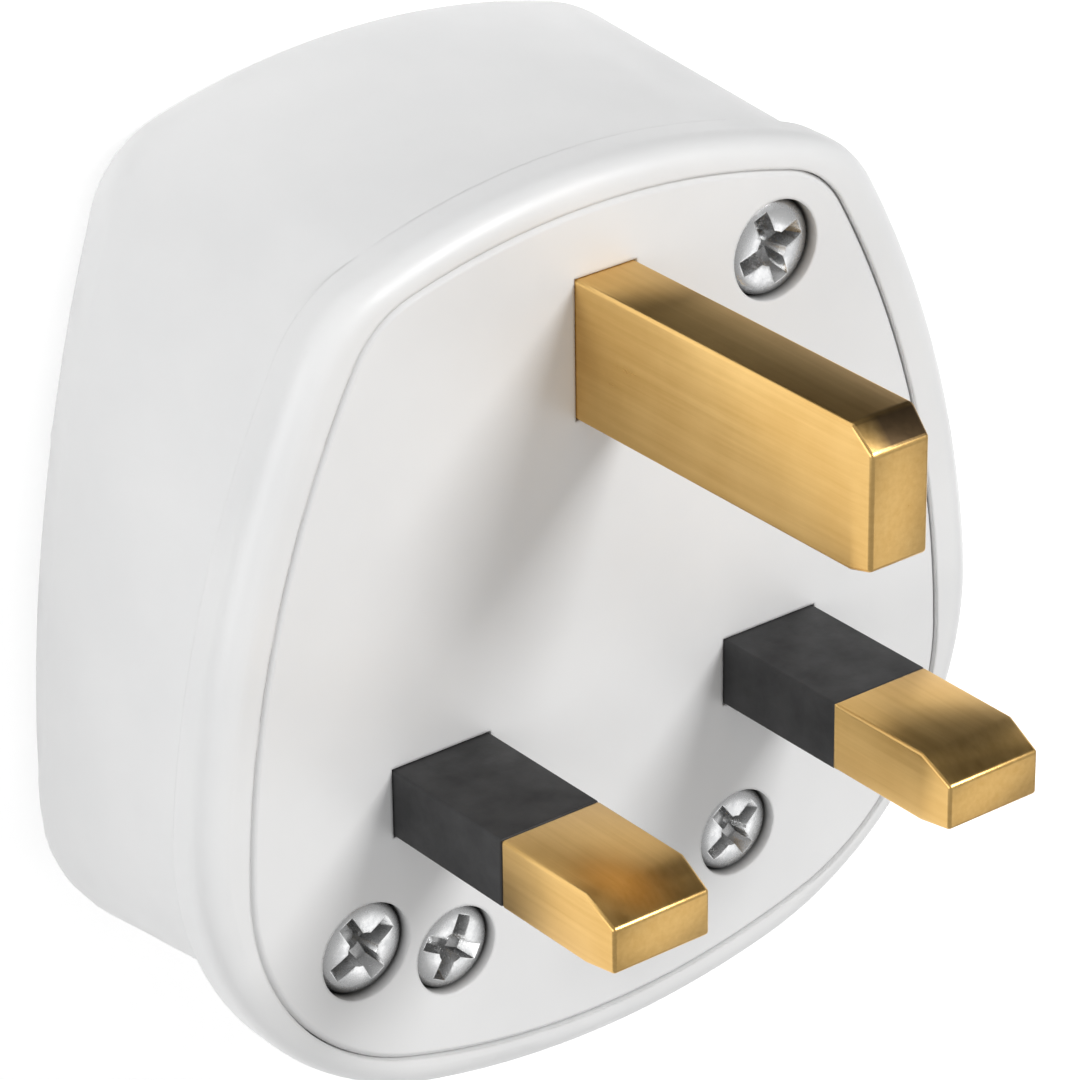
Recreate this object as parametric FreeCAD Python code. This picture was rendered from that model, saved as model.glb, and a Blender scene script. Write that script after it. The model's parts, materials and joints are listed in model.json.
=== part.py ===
import FreeCAD, Part
import math
import os
from collections import namedtuple

# A rewireable three pin plug, lying on its back with the pins up. Sizes are in millimetres.
# Places on the face are across and up from the midpoint of the line and neutral pins, seen from
# the pin side with the earth pin on top. Depths run from the pin face into the plug.

V = FreeCAD.Vector

# A shield outline is made of eight arcs that run into each other: a top and a bottom arc, two
# bowed sides, and a shoulder and a hip on each side. side_y is the height of the widest place.
Shield = namedtuple("Shield", "top half bottom r_top r_shoulder side_y r_side r_hip r_bottom")

# Body. The main sizes are the outer rim's, and the other outlines follow from them.
face_top = 32.0
face_bottom = -20.0
face_half_wide = 26.3
rim_stand_top = 0.25
rim_stand_side = 1.7
rim_stand_bottom = 2.4
back_lean_side = 2.2
back_flare_top = 1.9
back_flare_bottom = 0.7
body_depth = 24.5
rim_depth = 3.4
rim_round = 1.5
rim_heel_bevel = 0.5
body_start = 1.5
back_round = 5.0
wall = 2.3
back_wall = 2.3
cavity_bevel = 2.0
rim_outline = Shield(face_top, face_half_wide, face_bottom, 43.0, 8.0, -3.8, 62.0, 19.0, 50.0)
waist_outline = Shield(face_top - rim_stand_top, face_half_wide - rim_stand_side,
                       face_bottom + rim_stand_bottom, 46.0, 6.0, -3.0, 60.0, 17.0, 45.0)
back_outline = Shield(waist_outline.top + back_flare_top, waist_outline.half - back_lean_side,
                      waist_outline.bottom - back_flare_bottom, 46.0, 7.6, -6.0, 115.0, 6.5, 55.0)

# Base plate
plate_margin = 2.0
plate_margin_side = 2.9
plate_outline = Shield(face_top - plate_margin, face_half_wide - plate_margin_side,
                       face_bottom + plate_margin, 45.0, 6.0, -3.5, 60.0, 14.0, 46.0)
plate_thickness = 2.6
plate_edge_bevel = 0.3
plate_fit = 0.06
boss_fit = 0.25

# Pins, with the shoulders that seat in the base plate
pin_spacing = 22.23
live_pin_wide = 6.35
live_pin_high = 4.0
live_pin_length = 18.1
earth_pin_up = 22.23
earth_pin_wide = 4.0
earth_pin_high = 7.95
earth_pin_length = 22.73
live_tip_length = 2.2
live_tip_bevel_side = 0.1
live_tip_bevel_top = 1.1
live_tip_bevel_under = 0.3
earth_tip_length = 1.4
earth_tip_bevel_side = 0.15
earth_tip_bevel_top = 1.3
earth_tip_bevel_under = 0.3
pin_fit = 0.05
sleeve_length = 9.1
sleeve_wall = 0.7
shoulder_depth = 1.9
shoulder_step = 0.85
shoulder_fit = 0.12
socket_wall = 1.1
socket_depth = 5.0

# Pillar terminals
pillar_top_depth = 13.5
pillar_wide = 6.4
pillar_high = 5.8
earth_pillar_high = 7.0
wire_hole_radius = 1.7
wire_hole_depth = 8.8
terminal_screw_radius = 1.6
terminal_head_radius = 2.4
terminal_head_height = 1.5
terminal_slot_wide = 0.8
terminal_slot_deep = 0.8
thread_fit = 0.05

# Fuse, its clips and the line terminal
fuse_length = 25.4
fuse_radius = 3.175
cap_length = 6.0
cap_wall = 0.35
cap_end = 0.5
tube_bore_radius = 1.9
element_radius = 0.25
clip_gap = 0.08
clip_thickness = 0.6
clip_wide = 5.0
clip_half_angle = 128.0
clip_lip_radius = 1.0
clip_lip_angle = 70.0
pad_depth = 5.4
strip_wide = 5.0
strip_reach = 6.2
line_terminal_across = strip_reach - pin_spacing / 2
line_terminal_up = 11.0
line_terminal_wide = 5.6
line_terminal_high = 5.4
spigot_radius = 1.2
spigot_fit = 0.06

# Screws that show on the face: two fix the cover, two work the cord grip
cover_screw_places = {"upper": (11.35, face_top - 8.0), "lower": (-16.3, face_bottom + 11.8)}
cover_head_radius = 2.7
cover_head_height = 1.8
cover_shank_radius = 1.75
cover_screw_end = 13.6
grip_middle = -0.75
grip_reach = 9.7
grip_up = face_bottom + 9.6
grip_places = {"left": grip_middle - grip_reach, "right": grip_middle + grip_reach}
grip_head_radius = 2.45
grip_head_height = 1.6
grip_shank_radius = 1.45
grip_screw_end = 15.0
head_sunk = 0.35
head_bevel = 0.45
head_fit = 0.13
shank_fit = 0.15
recess_wide = 1.05
recess_foot_wide = 0.7
recess_deep = 1.25
recess_spread = 0.62
recess_turns = {"upper": 20.0, "lower": 28.0, "left": 62.0, "right": 35.0}

# Bosses, inserts and keepers along the screws
base_boss_radius = 3.3
base_boss_depth = 6.2
cover_boss_radius = 3.5
boss_gap = 0.2
insert_radius = 2.4
insert_length = 6.0
insert_sunk = 0.1
insert_fit = 0.05
keeper_radius = 2.45
keeper_thickness = 0.8
screw_hole_end = 15.0

# Cord grip and cord entry
grip_post_radius = 2.6
grip_post_depth = 7.2
bar_thickness = 4.2
bar_end_radius = 2.6
bar_insert_radius = 1.95
bar_insert_length = 3.0
tooth_pitch = 1.9
tooth_radius = 0.75
tooth_count = 3
tooth_half_length = 4.6
saddle_wide = 11.0
saddle_high = 7.0
saddle_depth = 5.2
cord_depth = 10.6
cord_hole_radius = 4.75
cord_mouth_flare = 0.9
collar_radius = 6.6
collar_reach = 1.2

# Cover's ribs that hold the inner pieces down
hold_down_gap = 0.2
hold_down_outer = 3.7
hold_down_inner = 2.75
rib_thickness = 1.6
rib_half_wide = 2.6
rib_places = (5.6, 13.8)

# Two levels closer than this are the same
level_slack = 0.0001

# The body lies with the middle of its height on the origin. Its top is highest where the
# rounding of the back begins.
crown_share = (body_depth - back_round - body_start) / (body_depth - body_start)
body_crown = waist_outline.top + crown_share * (back_outline.top - waist_outline.top)
middle_up = (max(rim_outline.top, body_crown) + rim_outline.bottom) / 2


def inset(s, distance):
    """the same shield, smaller by a distance all round"""
    return Shield(s.top - distance, s.half - distance, s.bottom + distance,
                  s.r_top - distance, s.r_shoulder - distance, s.side_y,
                  s.r_side - distance, s.r_hip - distance, s.r_bottom - distance)


def nested_centre(centre_a, radius_a, centre_b, radius_b, radius, side):
    """centre of a circle that touches two larger circles from inside"""
    reach_a = radius_a - radius
    reach_b = radius_b - radius
    gap = centre_b - centre_a
    along = (gap.Length ** 2 + reach_a ** 2 - reach_b ** 2) / (2 * gap.Length)
    off = math.sqrt(reach_a ** 2 - along ** 2)
    unit = gap * (1 / gap.Length)
    return centre_a + unit * along + V(-unit.y, unit.x, 0) * off * side


def bearing(centre, point):
    """angle from a centre to a point, anticlockwise from the right"""
    return math.atan2(point.y - centre.y, point.x - centre.x)


def shield_wire(s, depth):
    """the closed outline of a shield at one depth"""
    top = V(0, s.top - s.r_top, 0)
    side = V(s.half - s.r_side, s.side_y, 0)
    bottom = V(0, s.bottom + s.r_bottom, 0)
    shoulder = nested_centre(top, s.r_top, side, s.r_side, s.r_shoulder, -1)
    hip = nested_centre(bottom, s.r_bottom, side, s.r_side, s.r_hip, 1)
    side_end = bearing(side, shoulder)
    top_start = bearing(top, shoulder)
    side_start = bearing(side, hip)
    bottom_end = bearing(bottom, hip)
    half_turn = math.pi
    arcs = [(side, 1, s.r_side, side_start, side_end),
            (shoulder, 1, s.r_shoulder, side_end, top_start),
            (top, 1, s.r_top, top_start, half_turn - top_start),
            (shoulder, -1, s.r_shoulder, half_turn - top_start, half_turn - side_end),
            (side, -1, s.r_side, half_turn - side_end, half_turn - side_start),
            (hip, -1, s.r_hip, half_turn - side_start, half_turn - bottom_end),
            (bottom, 1, s.r_bottom, half_turn - bottom_end, 2 * half_turn + bottom_end),
            (hip, 1, s.r_hip, bottom_end, side_start)]
    edges = []
    for centre, mirror, radius, start, end in arcs:
        place = V(mirror * centre.x, centre.y - middle_up, body_depth - depth)
        circle = Part.Circle(place, V(0, 0, 1), radius)
        edges.append(Part.Arc(circle, start, end).toShape())
    return Part.Wire(edges)


def shield_slab(s, start, end):
    """a shield with upright sides between two depths"""
    return Part.Face(shield_wire(s, end)).extrude(V(0, 0, end - start))


def shield_loft(front, start, back, end):
    """a body that changes evenly from one shield to another"""
    return Part.makeLoft([shield_wire(front, start), shield_wire(back, end)], True, True)


def block(across, up, wide, high, start, end):
    """a box centred on a place on the face, between two depths"""
    corner = V(across - wide / 2, up - high / 2 - middle_up, body_depth - end)
    return Part.makeBox(wide, high, end - start, corner)


def rod(across, up, radius, start, end):
    """a cylinder along the pins, between two depths"""
    return Part.makeCylinder(radius, end - start, V(across, up - middle_up, body_depth - end))


def upright_rod(across, low, high, radius, depth):
    """a cylinder along the height of the face"""
    foot = V(across, low - middle_up, body_depth - depth)
    return Part.makeCylinder(radius, high - low, foot, V(0, 1, 0))


def joined(shapes):
    """one solid from shapes that meet"""
    return shapes[0].multiFuse(shapes[1:]).removeSplitter()


def edges_at_depth(shape, depth):
    """the edges that lie flat at one depth"""
    level = body_depth - depth
    return [e for e in shape.Edges
            if max(abs(e.BoundBox.ZMin - level), abs(e.BoundBox.ZMax - level)) < level_slack]


def outer_body():
    """the cover's outer form: a rim round the face, and the body behind it"""
    rim = shield_slab(rim_outline, 0, rim_depth)
    rim = rim.makeFillet(rim_round, edges_at_depth(rim, 0))
    rim = rim.makeChamfer(rim_heel_bevel, edges_at_depth(rim, rim_depth))
    body = shield_loft(waist_outline, body_start, back_outline, body_depth)
    body = body.makeFillet(back_round, edges_at_depth(body, body_depth))
    return joined([rim, body])


def body_bottom(depth):
    """height of the body's lower wall on the centre line, at one depth"""
    share = (depth - body_start) / (body_depth - body_start)
    return waist_outline.bottom + share * (back_outline.bottom - waist_outline.bottom)


def cavity_outline():
    """the inside of the walls, a wall's thickness inside the body's middle section"""
    middle = Shield(*[(front + back) / 2 for front, back in zip(waist_outline, back_outline)])
    return inset(middle, wall)


def cavity():
    """the space inside the cover, behind the base plate"""
    floor_depth = body_depth - back_wall
    space = shield_slab(cavity_outline(), plate_thickness - plate_fit, floor_depth)
    return space.makeChamfer(cavity_bevel, edges_at_depth(space, floor_depth))


def cover_fittings():
    """bosses, hold-down tubes, fuse ribs and the collar, before they are trimmed to the cover"""
    floor_depth = body_depth - back_wall / 2
    shapes = []
    for across, up in cover_screw_places.values():
        shapes.append(rod(across, up, cover_boss_radius, base_boss_depth + boss_gap, floor_depth))
    tube_start = pillar_top_depth + hold_down_gap
    for across, up in terminal_places().values():
        tube = rod(across, up, hold_down_outer, tube_start, floor_depth)
        shapes.append(tube.cut(rod(across, up, hold_down_inner, tube_start, body_depth - back_wall)))
    rib_start = fuse_depth() + fuse_radius + hold_down_gap
    for up in rib_places:
        shapes.append(block(-pin_spacing / 2, up, 2 * rib_half_wide, rib_thickness, rib_start, floor_depth))
    lower_wall = body_bottom(cord_depth)
    shapes.append(upright_rod(0, lower_wall, lower_wall + wall + collar_reach, collar_radius, cord_depth))
    return shapes


def cover_holes():
    """the plate's pocket, the holes for the inserts and the cord entry"""
    pocket = shield_slab(inset(plate_outline, -plate_fit), 0, plate_thickness)
    shapes = [pocket]
    start = base_boss_depth + boss_gap
    insert_end = start + insert_sunk + insert_length
    for across, up in cover_screw_places.values():
        shapes.append(rod(across, up, base_boss_radius + boss_fit, plate_thickness, start))
        shapes.append(rod(across, up, insert_radius + insert_fit, start, insert_end))
        shapes.append(rod(across, up, cover_shank_radius + shank_fit, start, screw_hole_end))
    mouth = body_bottom(cord_depth)
    shapes.append(upright_rod(0, mouth - wall, mouth + 2 * wall + collar_reach, cord_hole_radius, cord_depth))
    foot = V(0, mouth - cord_mouth_flare - middle_up, body_depth - cord_depth)
    shapes.append(Part.makeCone(cord_hole_radius + 2 * cord_mouth_flare, cord_hole_radius,
                                2 * cord_mouth_flare, foot, V(0, 1, 0)))
    return shapes


def rear_cover():
    """the deep shell that closes the plug"""
    outer = outer_body()
    space = cavity()
    shell = outer.cut(space)
    fittings = [shape.common(space) for shape in cover_fittings()]
    shell = joined([shell] + fittings)
    for hole in cover_holes():
        shell = shell.cut(hole)
    return shell


def live_socket(across, up, wide, high):
    """the walls that stand round a pin's shoulder inside the base"""
    margin = 2 * (shoulder_step + shoulder_fit + socket_wall)
    return block(across, up, wide + margin, high + margin, 0, socket_depth)


def clip_pad():
    """the raised pad that the terminal strip lies on"""
    across = -pin_spacing / 2
    low = line_terminal_up - line_terminal_high / 2
    high = upper_cap_up() + clip_wide / 2
    upright = block(across, (low + high) / 2, strip_wide, high - low, 0, pad_depth)
    left = across - strip_wide / 2
    right = line_terminal_across + line_terminal_wide / 2
    foot = block((left + right) / 2, line_terminal_up, right - left, line_terminal_high, 0, pad_depth)
    return joined([upright, foot])


def base_bosses():
    """the bosses that the cover screws run through"""
    return [rod(across, up, base_boss_radius, 0, base_boss_depth)
            for across, up in cover_screw_places.values()]


def base_fittings():
    """posts, sockets, pad and saddle that stand behind the base plate"""
    shapes = []
    for across in grip_places.values():
        shapes.append(rod(across, grip_up, grip_post_radius, 0, grip_post_depth))
    for across in (-pin_spacing / 2, pin_spacing / 2):
        shapes.append(live_socket(across, 0, live_pin_wide, live_pin_high))
    shapes.append(live_socket(0, earth_pin_up, earth_pin_wide, earth_pin_high))
    shapes.append(clip_pad())
    shapes.append(block(grip_middle, grip_up, saddle_wide, saddle_high, 0, saddle_depth))
    return shapes


def saddle_teeth():
    """the ridges across the saddle that bite on the cord"""
    half_span = (tooth_count - 1) / 2
    teeth = []
    for i in range(tooth_count):
        up = grip_up + (i - half_span) * tooth_pitch
        teeth.append(cross_rod(up, tooth_half_length, tooth_radius, saddle_depth))
    return teeth


def cross_rod(up, half_length, radius, depth):
    """a cylinder across the cord grip"""
    start = V(grip_middle - half_length, up - middle_up, body_depth - depth)
    return Part.makeCylinder(radius, 2 * half_length, start, V(1, 0, 0))


def pin_slot(across, up, wide, high):
    """the way through the base plate for a pin, with the seat of its shoulder"""
    seat = 2 * (shoulder_step + shoulder_fit)
    way = block(across, up, wide + 2 * pin_fit, high + 2 * pin_fit, 0, shoulder_depth)
    seat = block(across, up, wide + seat, high + seat, shoulder_depth, socket_depth)
    return joined([way, seat])


def screw_way(across, up, head_radius, head_height, shank_radius, end):
    """counterbore and clearance hole for a screw from the face"""
    head = rod(across, up, head_radius + head_fit, 0, head_sunk + head_height)
    shank = rod(across, up, shank_radius + shank_fit, 0, end)
    return joined([head, shank])


def base_plate():
    """the flat moulding that carries the pins"""
    plate = shield_slab(plate_outline, 0, plate_thickness)
    plate = plate.makeChamfer(plate_edge_bevel, edges_at_depth(plate, 0))
    room = shield_slab(inset(cavity_outline(), boss_fit), 0, grip_post_depth)
    fittings = [shape.common(room) for shape in base_fittings()]
    plate = joined([plate] + base_bosses() + fittings + saddle_teeth())
    holes = [pin_slot(-pin_spacing / 2, 0, live_pin_wide, live_pin_high),
             pin_slot(pin_spacing / 2, 0, live_pin_wide, live_pin_high),
             pin_slot(0, earth_pin_up, earth_pin_wide, earth_pin_high)]
    for across, up in cover_screw_places.values():
        holes.append(screw_way(across, up, cover_head_radius, cover_head_height,
                               cover_shank_radius, base_boss_depth))
        holes.append(rod(across, up, keeper_radius + insert_fit,
                         base_boss_depth - keeper_thickness, base_boss_depth))
    for across in grip_places.values():
        holes.append(screw_way(across, grip_up, grip_head_radius, grip_head_height,
                               grip_shank_radius, grip_post_depth))
    spigot_end = pad_depth - clip_thickness - spigot_fit
    holes.append(rod(line_terminal_across, line_terminal_up, spigot_radius + spigot_fit,
                     spigot_end, pad_depth))
    for hole in holes:
        plate = plate.cut(hole)
    return plate


def tapered_block(wide, high, end_wide, end_top, end_bottom, length):
    """a block that stands on the origin and narrows evenly towards its far end"""
    wedge = Part.makeWedge(-wide / 2, 0, -high / 2, -end_top, -end_wide / 2,
                           wide / 2, length, high / 2, -end_bottom, end_wide / 2)
    wedge.rotate(V(0, 0, 0), V(1, 0, 0), 90)
    return wedge


def pin_tip(across, up, wide, high, bevel_side, bevel_top, bevel_under, start, length):
    """the bevelled end of a pin, from its full section to its end face"""
    tip = tapered_block(wide, high, wide - 2 * bevel_side,
                        high / 2 - bevel_top, bevel_under - high / 2, length)
    tip.translate(V(across, up - middle_up, body_depth - start))
    return tip


def live_pin(across, head_depth):
    """a brass pin with its reduced neck under the sleeve and the shoulder inside"""
    bare_end = -(live_pin_length - live_tip_length)
    bare = block(across, 0, live_pin_wide, live_pin_high, bare_end, -sleeve_length)
    neck = block(across, 0, live_pin_wide - 2 * sleeve_wall, live_pin_high - 2 * sleeve_wall,
                 -sleeve_length, shoulder_depth)
    tip = pin_tip(across, 0, live_pin_wide, live_pin_high,
                  live_tip_bevel_side, live_tip_bevel_top, live_tip_bevel_under,
                  bare_end, live_tip_length)
    head = block(across, 0, live_pin_wide + 2 * shoulder_step, live_pin_high + 2 * shoulder_step,
                 shoulder_depth, head_depth)
    return joined([bare, neck, tip, head])


def pillar(across, up, wide, high, start):
    """a pillar terminal with its wire hole and the thread of its screw"""
    body = block(across, up, wide, high, start, pillar_top_depth)
    body = body.cut(upright_rod(across, up - high, up + high, wire_hole_radius, wire_hole_depth))
    return body.cut(rod(across, up, terminal_screw_radius + thread_fit, wire_hole_depth, pillar_top_depth))


def neutral_pin():
    """the neutral pin, one piece with its terminal"""
    across = pin_spacing / 2
    pin = live_pin(across, socket_depth)
    return joined([pin, pillar(across, 0, pillar_wide, pillar_high, socket_depth)])


def line_pin():
    """the line pin, with a spigot that holds the lower fuse clip"""
    across = -pin_spacing / 2
    pin = live_pin(across, pad_depth)
    return joined([pin, rod(across, 0, spigot_radius, pad_depth, pad_depth + clip_thickness)])


def earth_pin():
    """the long bare earth pin, one piece with its terminal"""
    bare_end = -(earth_pin_length - earth_tip_length)
    shank = block(0, earth_pin_up, earth_pin_wide, earth_pin_high, bare_end, shoulder_depth)
    tip = pin_tip(0, earth_pin_up, earth_pin_wide, earth_pin_high,
                  earth_tip_bevel_side, earth_tip_bevel_top, earth_tip_bevel_under,
                  bare_end, earth_tip_length)
    head = block(0, earth_pin_up, earth_pin_wide + 2 * shoulder_step,
                 earth_pin_high + 2 * shoulder_step, shoulder_depth, socket_depth)
    post = pillar(0, earth_pin_up, pillar_wide, earth_pillar_high, socket_depth)
    return joined([shank, tip, head, post])


def pin_sleeve(across):
    """the insulating sleeve, flush with the pin and let into the base plate"""
    outer = block(across, 0, live_pin_wide, live_pin_high, -sleeve_length, shoulder_depth)
    neck = block(across, 0, live_pin_wide - 2 * sleeve_wall, live_pin_high - 2 * sleeve_wall,
                 -sleeve_length, shoulder_depth)
    return outer.cut(neck)


def lower_cap_up():
    """the lower cap sits over the line pin"""
    return 0.0


def upper_cap_up():
    """the middle of the upper cap"""
    return lower_cap_up() + fuse_length - cap_length


def fuse_depth():
    """depth of the fuse's axis, carried by the clips on the pad"""
    return pad_depth + clip_thickness + clip_gap + fuse_radius


def fuse_low():
    """the fuse's lower end"""
    return lower_cap_up() - cap_length / 2


def fuse_rod(radius, low, high):
    """a cylinder on the fuse's axis, measured from the fuse's lower end"""
    return upright_rod(-pin_spacing / 2, fuse_low() + low, fuse_low() + high, radius, fuse_depth())


def fuse_body():
    """the ceramic tube, turned down under its caps"""
    tube = fuse_rod(fuse_radius - cap_wall, cap_end, fuse_length - cap_end)
    middle = fuse_rod(fuse_radius - cap_wall / 2, cap_length, fuse_length - cap_length)
    bore = fuse_rod(tube_bore_radius, cap_end, fuse_length - cap_end)
    return joined([tube, middle]).cut(bore)


def fuse_cap(low, open_up):
    """a drawn metal cap on one end of the tube"""
    cap = fuse_rod(fuse_radius, low, low + cap_length)
    if open_up:
        return cap.cut(fuse_rod(fuse_radius - cap_wall, low + cap_end, low + cap_length))
    return cap.cut(fuse_rod(fuse_radius - cap_wall, low, low + cap_length - cap_end))


def fuse_element():
    """the wire that melts, stretched between the caps"""
    return fuse_rod(element_radius, cap_end, fuse_length - cap_end)


def clip_ring(up):
    """a spring clip round a fuse cap: a sprung ring, open at the back, with flared lips"""
    inner = fuse_radius + clip_gap
    outer = inner + clip_thickness
    middle = (inner + outer) / 2
    low = up - clip_wide / 2
    level = body_depth - fuse_depth()
    centre = V(-pin_spacing / 2, low - middle_up, level)

    def at(radius, degrees, about=centre):
        turn = math.radians(degrees)
        return about + V(math.sin(turn) * radius, 0, math.cos(turn) * radius)

    def bent_strip(about, radius, start, end):
        half = (start + end) / 2
        r_in = radius - clip_thickness / 2
        r_out = radius + clip_thickness / 2
        edges = [Part.Arc(at(r_in, start, about), at(r_in, half, about), at(r_in, end, about)).toShape(),
                 Part.makeLine(at(r_in, end, about), at(r_out, end, about)),
                 Part.Arc(at(r_out, end, about), at(r_out, half, about), at(r_out, start, about)).toShape(),
                 Part.makeLine(at(r_out, start, about), at(r_in, start, about))]
        return Part.Face(Part.Wire(edges)).extrude(V(0, clip_wide, 0))

    pieces = [bent_strip(centre, middle, -clip_half_angle, clip_half_angle)]
    for side in (-1, 1):
        about = at(middle + clip_lip_radius, side * clip_half_angle)
        start = side * clip_half_angle + 180
        pieces.append(bent_strip(about, clip_lip_radius, start, start - side * clip_lip_angle))
    return pieces


def line_fuse_clip():
    """the clip on the line pin's spigot"""
    across = -pin_spacing / 2
    foot = block(across, lower_cap_up(), strip_wide, clip_wide, pad_depth, pad_depth + clip_thickness)
    clip = joined([foot] + clip_ring(lower_cap_up()))
    return clip.cut(rod(across, lower_cap_up(), spigot_radius + spigot_fit,
                        pad_depth, pad_depth + 2 * clip_thickness))


def terminal_fuse_clip():
    """the upper clip, one piece with the strip that runs to the line terminal"""
    across = -pin_spacing / 2
    low = line_terminal_up - line_terminal_high / 2
    high = upper_cap_up() + clip_wide / 2
    end = pad_depth + clip_thickness
    upright = block(across, (low + high) / 2, strip_wide, high - low, pad_depth, end)
    left = across - strip_wide / 2
    right = line_terminal_across + line_terminal_wide / 2
    foot = block((left + right) / 2, line_terminal_up, right - left, line_terminal_high, pad_depth, end)
    strip = joined([upright, foot] + clip_ring(upper_cap_up()))
    return strip.cut(rod(line_terminal_across, line_terminal_up, spigot_radius + spigot_fit, pad_depth, end))


def line_terminal():
    """the pillar terminal that stands on the strip, with its spigot down through it"""
    post = pillar(line_terminal_across, line_terminal_up, line_terminal_wide, line_terminal_high,
                  pad_depth + clip_thickness)
    spigot = rod(line_terminal_across, line_terminal_up, spigot_radius,
                 pad_depth - clip_thickness, pad_depth + clip_thickness)
    return joined([post, spigot])


def terminal_places():
    """where the three terminal screws stand"""
    return {"earth": (0, earth_pin_up),
            "neutral": (pin_spacing / 2, 0),
            "line": (line_terminal_across, line_terminal_up)}


def terminal_screw(across, up):
    """a slotted cheese head screw that clamps a wire"""
    shank = rod(across, up, terminal_screw_radius, wire_hole_depth, pillar_top_depth)
    head_end = pillar_top_depth + terminal_head_height
    head = rod(across, up, terminal_head_radius, pillar_top_depth, head_end)
    slot = block(across, up, 3 * terminal_head_radius, terminal_slot_wide,
                 head_end - terminal_slot_deep, head_end)
    return joined([shank, head.cut(slot)])


def cross_recess(across, up, head_radius, turn):
    """the tapered cross that a driver fits"""
    reach = 2 * head_radius * recess_spread
    arms = []
    for quarter in (0, 90):
        arm = tapered_block(reach, recess_wide, recess_foot_wide,
                            recess_foot_wide / 2, -recess_foot_wide / 2, recess_deep)
        arm.rotate(V(0, 0, 0), V(1, 0, 0), 180)
        arm.rotate(V(0, 0, 0), V(0, 0, 1), turn + quarter)
        arm.translate(V(across, up - middle_up, body_depth - head_sunk))
        arms.append(arm)
    return joined(arms)


def face_screw(across, up, head_radius, head_height, shank_radius, end, turn):
    """a raised head screw with a cross recess, its head just below the face"""
    seat = head_sunk + head_height
    head = rod(across, up, head_radius, head_sunk, seat)
    head = head.makeChamfer(head_bevel, edges_at_depth(head, head_sunk))
    shank = rod(across, up, shank_radius, seat, end)
    return joined([head, shank]).cut(cross_recess(across, up, head_radius, turn))


def ring(across, up, outer, inner, start, end):
    """a washer or sleeve along a screw"""
    return rod(across, up, outer, start, end).cut(rod(across, up, inner, start, end))


def cord_grip_bar():
    """the bar that clamps the cord against the saddle"""
    end = grip_post_depth + bar_thickness
    shapes = [block(grip_middle, grip_up, 2 * grip_reach, 2 * bar_end_radius, grip_post_depth, end)]
    for across in grip_places.values():
        shapes.append(rod(across, grip_up, bar_end_radius, grip_post_depth, end))
    bar = joined(shapes)
    half_span = (tooth_count - 2) / 2
    teeth = []
    for i in range(tooth_count - 1):
        up = grip_up + (i - half_span) * tooth_pitch
        teeth.append(cross_rod(up, tooth_half_length, tooth_radius, grip_post_depth))
    bar = joined([bar] + teeth)
    for across in grip_places.values():
        bar = bar.cut(rod(across, grip_up, grip_shank_radius + shank_fit, grip_post_depth, end))
        bar = bar.cut(rod(across, grip_up, bar_insert_radius + insert_fit,
                          end - bar_insert_length, end))
    return bar


def build_plug():
    """every piece by its name"""
    line = -pin_spacing / 2
    neutral = pin_spacing / 2
    top_cap_low = fuse_length - cap_length
    pieces = {"base_plate": base_plate(),
              "rear_cover": rear_cover(),
              "earth_pin": earth_pin(),
              "neutral_pin": neutral_pin(),
              "line_pin": line_pin(),
              "neutral_sleeve": pin_sleeve(neutral),
              "line_sleeve": pin_sleeve(line),
              "fuse_body": fuse_body(),
              "fuse_cap_lower": fuse_cap(0, True),
              "fuse_cap_upper": fuse_cap(top_cap_low, False),
              "fuse_element": fuse_element(),
              "line_fuse_clip": line_fuse_clip(),
              "terminal_fuse_clip": terminal_fuse_clip(),
              "line_terminal": line_terminal(),
              "cord_grip_bar": cord_grip_bar()}
    for name, (across, up) in terminal_places().items():
        pieces[name + "_terminal_screw"] = terminal_screw(across, up)
    insert_start = base_boss_depth + boss_gap + insert_sunk
    keeper_start = base_boss_depth - keeper_thickness
    for name, (across, up) in cover_screw_places.items():
        pieces["cover_screw_" + name] = face_screw(across, up, cover_head_radius, cover_head_height,
                                                   cover_shank_radius, cover_screw_end, recess_turns[name])
        pieces["cover_insert_" + name] = ring(across, up, insert_radius, cover_shank_radius + thread_fit,
                                              insert_start, insert_start + insert_length)
        pieces["screw_keeper_" + name] = ring(across, up, keeper_radius, cover_shank_radius + thread_fit,
                                              keeper_start, base_boss_depth)
    bar_end = grip_post_depth + bar_thickness
    for name, across in grip_places.items():
        pieces["cord_grip_screw_" + name] = face_screw(across, grip_up, grip_head_radius, grip_head_height,
                                                       grip_shank_radius, grip_screw_end,
                                                       recess_turns[name])
        pieces["cord_grip_insert_" + name] = ring(across, grip_up, bar_insert_radius,
                                                  grip_shank_radius + thread_fit,
                                                  bar_end - bar_insert_length, bar_end)
    return pieces


os.makedirs("parts", exist_ok=True)
for piece_name, piece in build_plug().items():
    solids = len(piece.Solids)
    print(piece_name, "solids", solids, "valid", piece.isValid(), "volume", round(piece.Volume, 1))
    piece.exportStep("parts/" + piece_name + ".step")
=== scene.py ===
# %% [markdown]
# # A rewireable three pin plug
#
# The plug lies on its flat back with its pins up, as it would on a bench. Its solids come from
# CAD, already in place and in metres: +Z runs along the pins, +Y towards the earth pin. This
# lesson dresses them: camera, stage and light first, then the finishes, then the pieces that
# deserve rounder edges or finer detail than their solids have.

# %% Load the solids
import json
import math
import bpy
from mathutils import Matrix, Vector


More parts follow.
